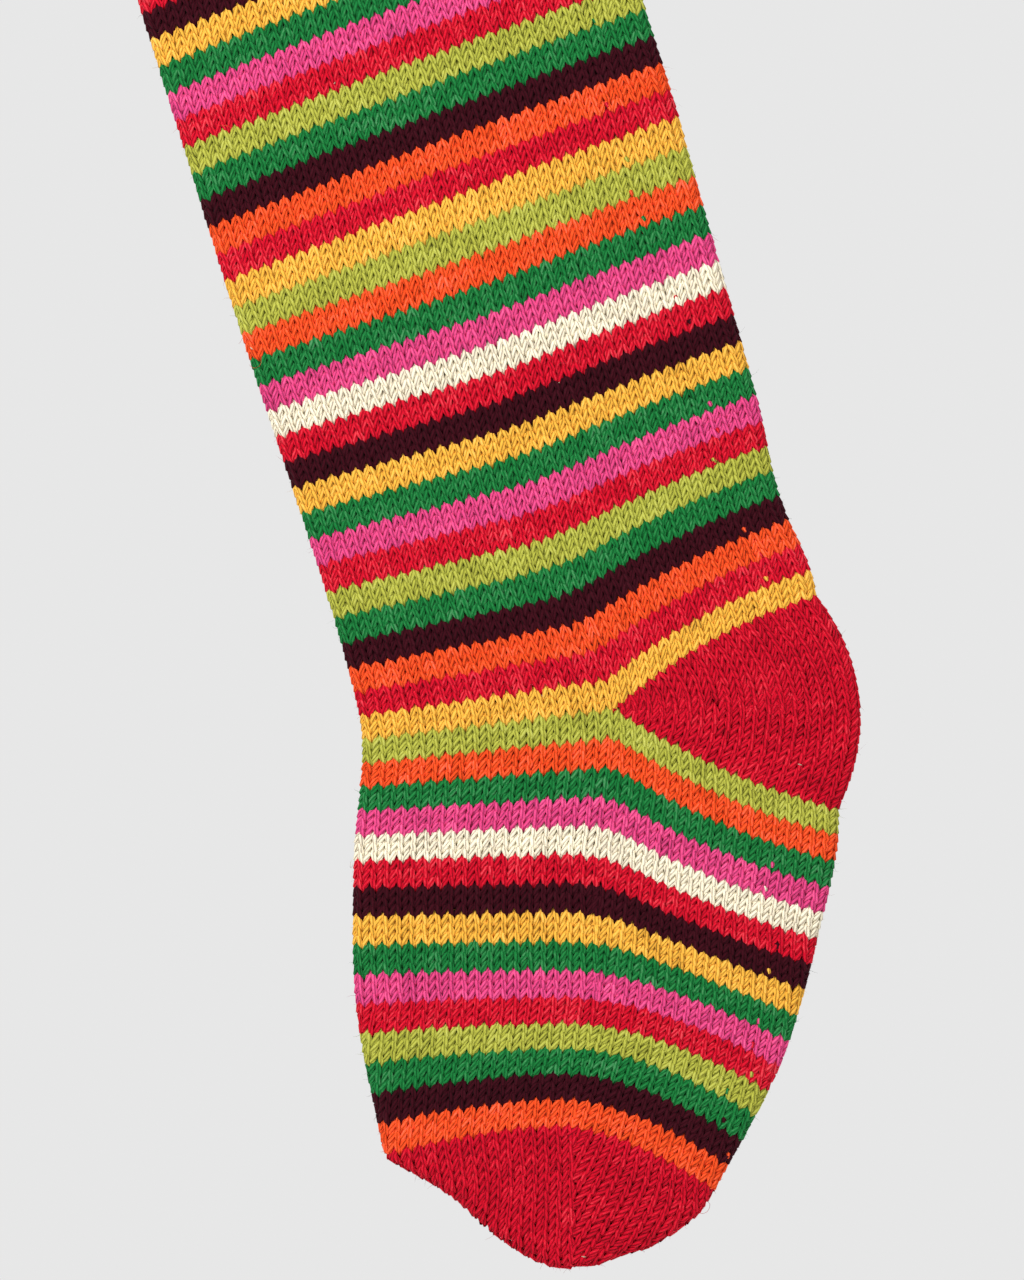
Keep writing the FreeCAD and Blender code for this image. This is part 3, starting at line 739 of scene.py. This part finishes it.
    def finish(self, material: bpy.types.Material) -> bpy.types.Object:
        """Makes the mesh object in metres, with its UV map and tone attribute."""
        verts = np.concatenate(self.verts) * MM
        quads = np.concatenate(self.quads)
        tris = np.concatenate(self.tris)
        corners = np.concatenate([quads.ravel(), tris.ravel()])
        totals = np.concatenate([np.full(len(quads), 4), np.full(len(tris), 3)])
        mesh = bpy.data.meshes.new(self.name)
        mesh.vertices.add(len(verts))
        mesh.vertices.foreach_set("co", verts.astype(np.float32).ravel())
        mesh.loops.add(len(corners))
        mesh.loops.foreach_set("vertex_index", corners.astype(np.int32))
        mesh.polygons.add(len(totals))
        starts = np.concatenate([[0], np.cumsum(totals)[:-1]])
        mesh.polygons.foreach_set("loop_start", starts.astype(np.int32))
        mesh.polygons.foreach_set("loop_total", totals.astype(np.int32))
        mesh.polygons.foreach_set("use_smooth", np.ones(len(totals), bool))
        mesh.update(calc_edges=True)
        uv = mesh.uv_layers.new(name="yarn")
        quad_uv = np.concatenate(self.quad_uvs).reshape(-1, 2)
        tri_uv = np.tile([[0.0, 0.0]], (len(tris) * 3, 1))
        uv.data.foreach_set("uv", np.concatenate([quad_uv, tri_uv]).astype(np.float32).ravel())
        tone = mesh.attributes.new("tone", "FLOAT", "POINT")
        tone.data.foreach_set("value", np.concatenate(self.tones).astype(np.float32))
        mesh.materials.append(material)
        made = bpy.data.objects.new(self.name, mesh)
        bpy.context.scene.collection.objects.link(made)
        return made


@dataclass
class Knitter:
    """Knits rows of stitches on a surface."""

    yarn_radius: float = 1.13
    step: float = 0.02

    def normals(self, surface: Surface, column: np.ndarray, row: np.ndarray) -> tuple[np.ndarray, np.ndarray]:
        """Points of a surface and its outward directions there."""
        here = surface(column, row)
        sideways = surface(column + self.step, row) - surface(column - self.step, row)
        down = surface(column, row + self.step) - surface(column, row - self.step)
        normal = np.cross(down, sideways)
        normal /= np.linalg.norm(normal, axis=1, keepdims=True) + 1e-12
        return here, normal

    def knit(self, piece: YarnPiece, surface: Surface, column: np.ndarray, row: np.ndarray,
             loop: Loop, sign: np.ndarray | None = None, radius: float | None = None,
             raised: np.ndarray | None = None, bias: float = 0.0, hairs: int = 0, fuzz: float = 1.9,
             fuzz_share: float = 0.17) -> None:
        """Lays one yarn through stitches in order and adds the fibres that stand out of it.

        Args:
            piece: the piece that the yarn belongs to.
            surface: the fabric's middle, over columns and rows.
            column: the first column edge of each stitch.
            row: the upper row edge of each stitch.
            loop: the shape of the stitches.
            sign: 1 where a stitch is knitted and -1 where it is purled; all knitted if left out.
            radius: half the yarn's thickness; the knitter's own if left out.
            raised: how far each stitch stands out, in yarn radii; none if left out.
            bias: lightness of the whole yarn.
            hairs: number of long stray hairs, with a fleck of straw for each.
            fuzz: mean length of the fibres.
            fuzz_share: fibres for each point of the yarn.
        """
        source = np.random.default_rng(SEED + piece.seed)
        radius = radius or self.yarn_radius
        dc, dr, dd, thickness = loop.path().T
        points, stitches = len(dc), len(column)

        def uneven(spread: float, *shape: int) -> np.ndarray:
            """Small random differences."""
            return source.normal(0, spread, shape)

        c = column[:, None] + dc + uneven(0.018, stitches, points) + uneven(0.02, stitches, 1)
        r = row[:, None] + 0.5 + dr * (1 + uneven(0.03, stitches, 1)) + uneven(0.03, stitches, 1)
        r = r + uneven(0.02, stitches, points)
        d = dd * (1 + uneven(0.08, stitches, points))
        if raised is not None:
            d = d + raised[:, None] * np.clip(dd, 0, 1)
        if sign is not None:
            edge = np.concatenate([[sign[0]], (sign[:-1] + sign[1:]) / 2, [sign[-1]]])
            place = np.arange(points) / points
            into = np.clip(place / 0.2, 0, 1)[None]
            out = np.clip((1 - place) / 0.2, 0, 1)[None]
            facing = edge[:-1, None] * (1 - into) + sign[:, None] * into
            facing = facing * out + edge[1:, None] * (1 - out)
            d = d * facing + 0.55 * facing
        c, r, d = c.ravel(), r.ravel(), d.ravel()
        here, normal = self.normals(surface, c, r)
        line = here + normal * (d * radius)[:, None]
        place = np.arange(len(line)) / points
        thick = radius * (np.tile(thickness, stitches) + 0.04 * wander(place, piece.seed, 5.0))
        thick = thick * (1 + np.repeat(uneven(0.03, stitches), points))
        tone = np.repeat(uneven(0.5, stitches), points) + 0.3 * wander(place, piece.seed + 50, 9.0) + bias
        line[0] -= normal[0] * 2.5
        line[-1] -= normal[-1] * 2.5
        piece.add_tube(line, normal, thick, tone)
        chosen = source.random(len(line)) < fuzz_share * np.clip(d + 0.6, 0.15, 1.5)
        start = line[chosen] + normal[chosen] * (thick[chosen] * 0.6)[:, None]
        piece.add_fibres(start, normal[chosen], fuzz)
        for at in source.integers(0, len(line), int(hairs)):
            piece.add_hair(line[at] + normal[at] * 1.4, normal[at], source)
            beside = at - 7
            piece.add_fleck(line[beside] + normal[beside], normal[beside], source)


@dataclass
class Stocking:
    """The whole stocking: every stripe, the cuff, heel and toe, and the loop that it hangs from."""

    outline: Outline = field(default_factory=Outline)
    knitter: Knitter = field(default_factory=Knitter)
    loop: Loop = field(default_factory=Loop)
    materials: dict = field(default_factory=dict)

    def dress(self, piece: YarnPiece, *nodes: str) -> bpy.types.Object:
        """Finishes a piece in its wool and replaces its CAD nodes."""
        if piece.wool not in self.materials:
            self.materials[piece.wool] = WoolFinish(piece.wool).build()
        made = piece.finish(self.materials[piece.wool])
        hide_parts(*nodes)
        log.info("%s: %d faces", piece.name, len(made.data.polygons))
        return made

    def knit_stripe(self, number: int, colour: str) -> None:
        """Knits one stripe: three rounds, one below the other, of one length of yarn."""
        on_foot = number > HEEL_LINE
        own = number - HEEL_LINE if on_foot else number
        node = f"{'foot' if on_foot else 'leg'}_stripe_{own:02d}_{colour}"
        piece = YarnPiece(f"knit_{node}", Wool[colour.upper()], number)
        first_round = (number - 1) * ROUNDS_PER_STRIPE
        if on_foot:
            surface = self.outline.foot()
            rounds = [self.round_of_foot(first_round + i) for i in range(ROUNDS_PER_STRIPE)]
            column = np.concatenate([places for places, _ in rounds])
            row = np.concatenate([np.full(len(places), float(first_round + i))
                                  for i, (places, _) in enumerate(rounds)])
        else:
            surface = self.outline.tube(on_foot)
            order = np.arange(ROUNDS_PER_STRIPE * STITCHES)
            column = YARN_JOIN + order
            row = float(first_round) + order // STITCHES
        self.knitter.knit(piece, surface, column, row, self.loop, hairs=number % 4 == 0)
        self.leave_tail(piece, surface, row[0])
        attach(self.dress(piece, node), "stocking")

    def round_of_foot(self, number: int) -> tuple[np.ndarray, np.ndarray]:
        """Stitches of one round of the foot or the toe.

        Args:
            number: the round, counted from the top of the leg.

        Returns:
            The places in the order in which they are knitted, and which of them stand out as the
            chain that the decreases leave along the instep fold of the toe.
        """
        places, raised = [], []
        for quarter in YARN_ORDER:
            lost = float(self.outline.lost(np.array(quarter), np.array(number + 0.5)))
            at_start = lost * LOST_AT_START[quarter]
            own = np.arange(math.floor(at_start), QUARTER - math.floor(lost - at_start), dtype=float)
            places.append(NEXT_QUARTER * quarter + own)
            from_fold = {0: own - own[0], 3: own[-1] - own}.get(quarter, np.full(len(own), 9.0))
            raised.append(from_fold < 2)
        return np.concatenate(places), np.concatenate(raised) & (number >= TOE_LINE * ROUNDS_PER_STRIPE)

    def leave_tail(self, piece: YarnPiece, surface: Surface, row: float) -> None:
        """Lets the start of a yarn peep out between the stitches of the stripe above."""
        source = np.random.default_rng(SEED + piece.seed + 900)
        if source.random() < 0.3:
            return
        join = YARN_JOIN if piece.seed <= HEEL_LINE else NEXT_QUARTER + YARN_JOIN - QUARTER
        column = join + source.uniform(-0.6, 1.6) + np.array([0.0, 0.05, 0.12, 0.2])
        rows = row - source.uniform(0.9, 1.3) + np.array([0.0, 0.3, 0.6, 0.9])
        here, normal = self.knitter.normals(surface, column, rows)
        line = here + normal * np.array([-0.6, 1.5, 1.4, -0.6])[:, None]
        piece.add_tube(line, normal, np.array([0.5, 0.9, 0.9, 0.5]), np.zeros(4))

    def knit_cuff(self, rows: int = 8) -> None:
        """Knits the cuff in 2x2 rib, from the cast-on edge down."""
        piece = YarnPiece("knit_cuff", Wool.RED, 101)
        order = np.arange(rows * STITCHES)
        column = YARN_JOIN + order
        row = order // STITCHES + 0.2
        sign = np.where(np.mod(np.floor(column), 4) < 2, 1.0, -1.0)
        self.knitter.knit(piece, self.outline.cuff(rows), column.astype(float), row, self.loop, sign=sign)
        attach(self.dress(piece, "cuff"), "stocking")

    def knit_heel(self, rows: int = 24, step: float = 2.5) -> None:
        """Knits the heel in short rows: each pair stops short of the last, then each reaches past it."""
        piece = YarnPiece("knit_heel", Wool.RED, 102)
        half = rows // 2
        surface = self.outline.heel(rows, step)
        for row in range(rows):
            pair = (row if row < half else rows - 1 - row) // 2
            short = round(step * pair)
            stitches = SIDE - 2 * short
            column = QUARTER + short + np.arange(stitches, dtype=float)
            piece.seed = 102 + row
            self.knitter.knit(piece, surface, column, np.full(stitches, float(row)), self.loop, bias=-0.7,
                              hairs=row % 5 == 0)
        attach(self.dress(piece, "heel"), "stocking")

    def knit_toe(self) -> None:
        """Knits the toe, which loses stitches in every quarter and is then drawn shut."""
        piece = YarnPiece("knit_toe", Wool.RED, 130)
        surface = self.outline.foot()
        first_round = TOE_LINE * ROUNDS_PER_STRIPE
        for number in range(TOE_ROUNDS + 2):
            places, raised = self.round_of_foot(first_round + number)
            piece.seed = 130 + number
            self.knitter.knit(piece, surface, places, np.full(len(places), float(first_round + number)),
                              self.loop, raised=0.75 * raised, bias=-0.7, hairs=number % 6 == 2)
        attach(self.dress(piece, "toe"), "stocking")


@dataclass
class HangingLoop:
    """The knitted strap: out of the cuff, round the eye, and back into the cuff."""

    stocking: Stocking
    width: float = 9.0
    thickness: float = 3.0
    eye_radius: float = 9.0
    eye_depth: float = 44.0
    sewn_length: float = 14.0
    wales: int = 5
    row_height: float = 3.3

    def middle_line(self) -> np.ndarray:
        """Points of the strap's middle line in the XZ plane, from one sewn end to the other."""
        outline = self.stocking.outline
        half = self.thickness / 2
        radius = self.eye_radius + half
        lean = math.asin(self.eye_radius / (self.eye_depth - self.eye_radius))
        centre = np.array([0, -self.eye_radius])
        tangent = centre + radius * np.array([math.cos(lean), -math.sin(lean)])
        down = np.array([-math.sin(lean), -math.cos(lean)])
        neck = tangent + down * (tangent[0] - half) / math.sin(lean)
        hinge = outline.hinge
        end = hinge + outline.along * (self.thickness + self.sewn_length) + outline.outwards * half
        side = [end, hinge + outline.along * 4 + outline.outwards * half, hinge + np.array([half, 3.0]),
                neck, tangent]
        arc = [centre + radius * np.array([math.cos(a), math.sin(a)])
               for a in np.linspace(-lean, math.pi + lean, 14)[1:-1]]
        far_end = hinge + outline.along * (self.thickness + self.sewn_length) - outline.outwards * half
        back = [tangent * [-1, 1], neck * [-1, 1], hinge + np.array([-half, 3.0]),
                hinge + outline.along * 4 - outline.outwards * half, far_end]
        corners = np.array(side + arc + back)
        length = np.concatenate([[0], np.cumsum(np.linalg.norm(np.diff(corners, axis=0), axis=1))])
        even = np.arange(0, length[-1], 0.5)
        line = np.stack([np.interp(even, length, corners[:, i]) for i in range(2)], -1)
        kernel = np.ones(9) / 9
        padded = np.concatenate([np.repeat(line[:1], 4, 0), line, np.repeat(line[-1:], 4, 0)])
        return np.stack([np.convolve(padded[:, i], kernel, "valid") for i in range(2)], -1)

    def build(self) -> None:
        """Knits the strap as a flat tube and bends it across the swing axis."""
        line = self.middle_line()
        step = np.linalg.norm(np.diff(line, axis=0), axis=1)
        length = np.concatenate([[0], np.cumsum(step)])
        tangent = np.gradient(line, axis=0)
        tangent /= np.linalg.norm(tangent, axis=1, keepdims=True)
        rows = int(length[-1] / self.row_height)

        def surface(column: np.ndarray, row: np.ndarray) -> np.ndarray:
            """Points of the flattened tube."""
            at = np.clip(row * self.row_height, 0, length[-1])
            x, z = (np.interp(at, length, line[:, i]) for i in range(2))
            tx, tz = (np.interp(at, length, tangent[:, i]) for i in range(2))
            turn = column / self.wales * 2 * math.pi
            across = (self.width / 2 - 1.0) * np.sin(turn)
            out = (self.thickness / 2 - 0.9) * np.cos(turn)
            return np.stack([x - tz * out, across, z + tx * out], -1)

        piece = YarnPiece("knit_hanging_loop", Wool.RED, 160)
        order = np.arange(rows * self.wales)
        self.stocking.knitter.knit(
            piece, surface, order.astype(float), order / self.wales, Loop(), radius=0.95, fuzz=1.4)
        made = self.stocking.dress(piece, "hanging_loop", "loop_ends")
        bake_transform(made)

    def sew(self) -> None:
        """Makes the stitches that hold the strap's ends to the fold of the cuff."""
        outline = self.stocking.outline
        piece = YarnPiece("sewing_stitches", Wool.RED, 170)
        start = self.thickness + 0.4 + self.sewn_length / 2
        fold = self.thickness + outline.end_play + outline.cuff_wall
        for side in (-1, 1):
            for level in (-1, 1):
                turn = np.linspace(-0.25, math.pi + 0.25, 12)
                out = fold - 2.2 + 3.4 * np.sin(turn)
                along = start + level * 2.5 + 1.9 * np.cos(turn)
                flat = hinge_plane(outline, out, along)
                points = np.stack([flat[:, 0], np.full(12, side * 2.5) + 0.4 * np.cos(turn), flat[:, 1]], -1)
                normal = np.tile([outline.outwards[0], 0, outline.outwards[1]], (12, 1))
                normal = normal + np.array([0, side * 0.5, 0])
                piece.add_tube(points, normal, np.full(12, 0.85), np.zeros(12), flat=1.0)
        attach(self.stocking.dress(piece, "loop_stitches"), "stocking")


def hinge_plane(outline: Outline, out: np.ndarray, along: np.ndarray) -> np.ndarray:
    """Points at distances outwards from the swing axis and down along the leg."""
    return outline.hinge + out[:, None] * outline.outwards + along[:, None] * outline.along


@dataclass
class Studio:
    """A plain pale room: floor, soft lights and the camera."""

    view_centre: tuple = (0.0091, -0.4624)
    view_height: float = 0.4923
    distance: float = 1.7
    floor_level: float = -0.82
    floor_fade: tuple = (0.15, 0.75)
    room_colour: tuple = (0.80, 0.80, 0.80)

    def floor(self) -> None:
        """Adds the pale floor, which fades into the background with distance."""
        bpy.ops.object.select_all(action="DESELECT")
        bpy.ops.mesh.primitive_circle_add(vertices=96, radius=9.0, fill_type="NGON",
                                          location=(0, 0, self.floor_level))
        made = bpy.context.object
        made.name = "floor"
        material = bpy.data.materials.new("pale_floor")
        material.use_nodes = True
        nodes, links = material.node_tree.nodes, material.node_tree.links
        shader = nodes["Principled BSDF"]
        shader.inputs["Base Color"].default_value = (0.78, 0.78, 0.78, 1)
        shader.inputs["Roughness"].default_value = 0.9
        place = nodes.new("ShaderNodeTexCoord")
        distance = nodes.new("ShaderNodeVectorMath")
        distance.operation = "LENGTH"
        links.new(place.outputs["Object"], distance.inputs[0])
        fade = nodes.new("ShaderNodeMapRange")
        fade.interpolation_type = "SMOOTHSTEP"
        fade.inputs["From Min"].default_value, fade.inputs["From Max"].default_value = self.floor_fade
        links.new(distance.outputs["Value"], fade.inputs["Value"])
        far = nodes.new("ShaderNodeEmission")
        far.inputs["Color"].default_value = (*self.room_colour, 1)
        mixed = nodes.new("ShaderNodeMixShader")
        links.new(fade.outputs["Result"], mixed.inputs[0])
        links.new(shader.outputs[0], mixed.inputs[1])
        links.new(far.outputs[0], mixed.inputs[2])
        links.new(mixed.outputs[0], nodes["Material Output"].inputs["Surface"])
        made.data.materials.append(material)

    def lights(self) -> None:
        """Adds a large soft key from the upper left, a weak fill, and a pale sky."""
        world = bpy.data.worlds.new("pale_room")
        world.use_nodes = True
        background = world.node_tree.nodes["Background"]
        background.inputs[0].default_value = (*self.room_colour, 1)
        background.inputs[1].default_value = 1.0
        bpy.context.scene.world = world
        for name, place, size, power in (
            ("key", (-0.9, -1.5, 0.55), 0.7, 26.0),
            ("fill", (1.6, -1.3, -0.2), 1.4, 7.0),
            ("back", (0.4, 1.8, 0.5), 1.2, 10.0),
        ):
            light = bpy.data.lights.new(name, "AREA")
            light.size, light.energy = size, power
            lamp = bpy.data.objects.new(name, light)
            lamp.location = place
            aim = Vector((0, 0, -0.42)) - Vector(place)
            lamp.rotation_euler = aim.to_track_quat("-Z", "Y").to_euler()
            bpy.context.scene.collection.objects.link(lamp)

    def camera(self) -> None:
        """Adds the camera, level and square to the stocking."""
        data = bpy.data.cameras.new("camera")
        data.sensor_width = 36
        data.lens = 36 * self.distance / self.view_height
        camera = bpy.data.objects.new("camera", data)
        x, z = self.view_centre
        camera.location = (x, -self.distance, z)
        camera.rotation_euler = (math.pi / 2, 0, 0)
        bpy.context.scene.collection.objects.link(camera)
        bpy.context.scene.camera = camera


def main() -> None:
    """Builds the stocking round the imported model, then the room."""
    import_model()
    bpy.context.scene.view_settings.view_transform = "Standard"
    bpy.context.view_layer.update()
    stocking = Stocking()
    studio = Studio()
    studio.camera()
    stocking.knit_cuff()
    for number, colour in enumerate(LEG_COLOURS + FOOT_COLOURS, start=1):
        stocking.knit_stripe(number, colour)
    stocking.knit_heel()
    stocking.knit_toe()
    strap = HangingLoop(stocking)
    strap.build()
    strap.sew()
    studio.floor()
    studio.lights()


if __name__ == "__main__":
    main()
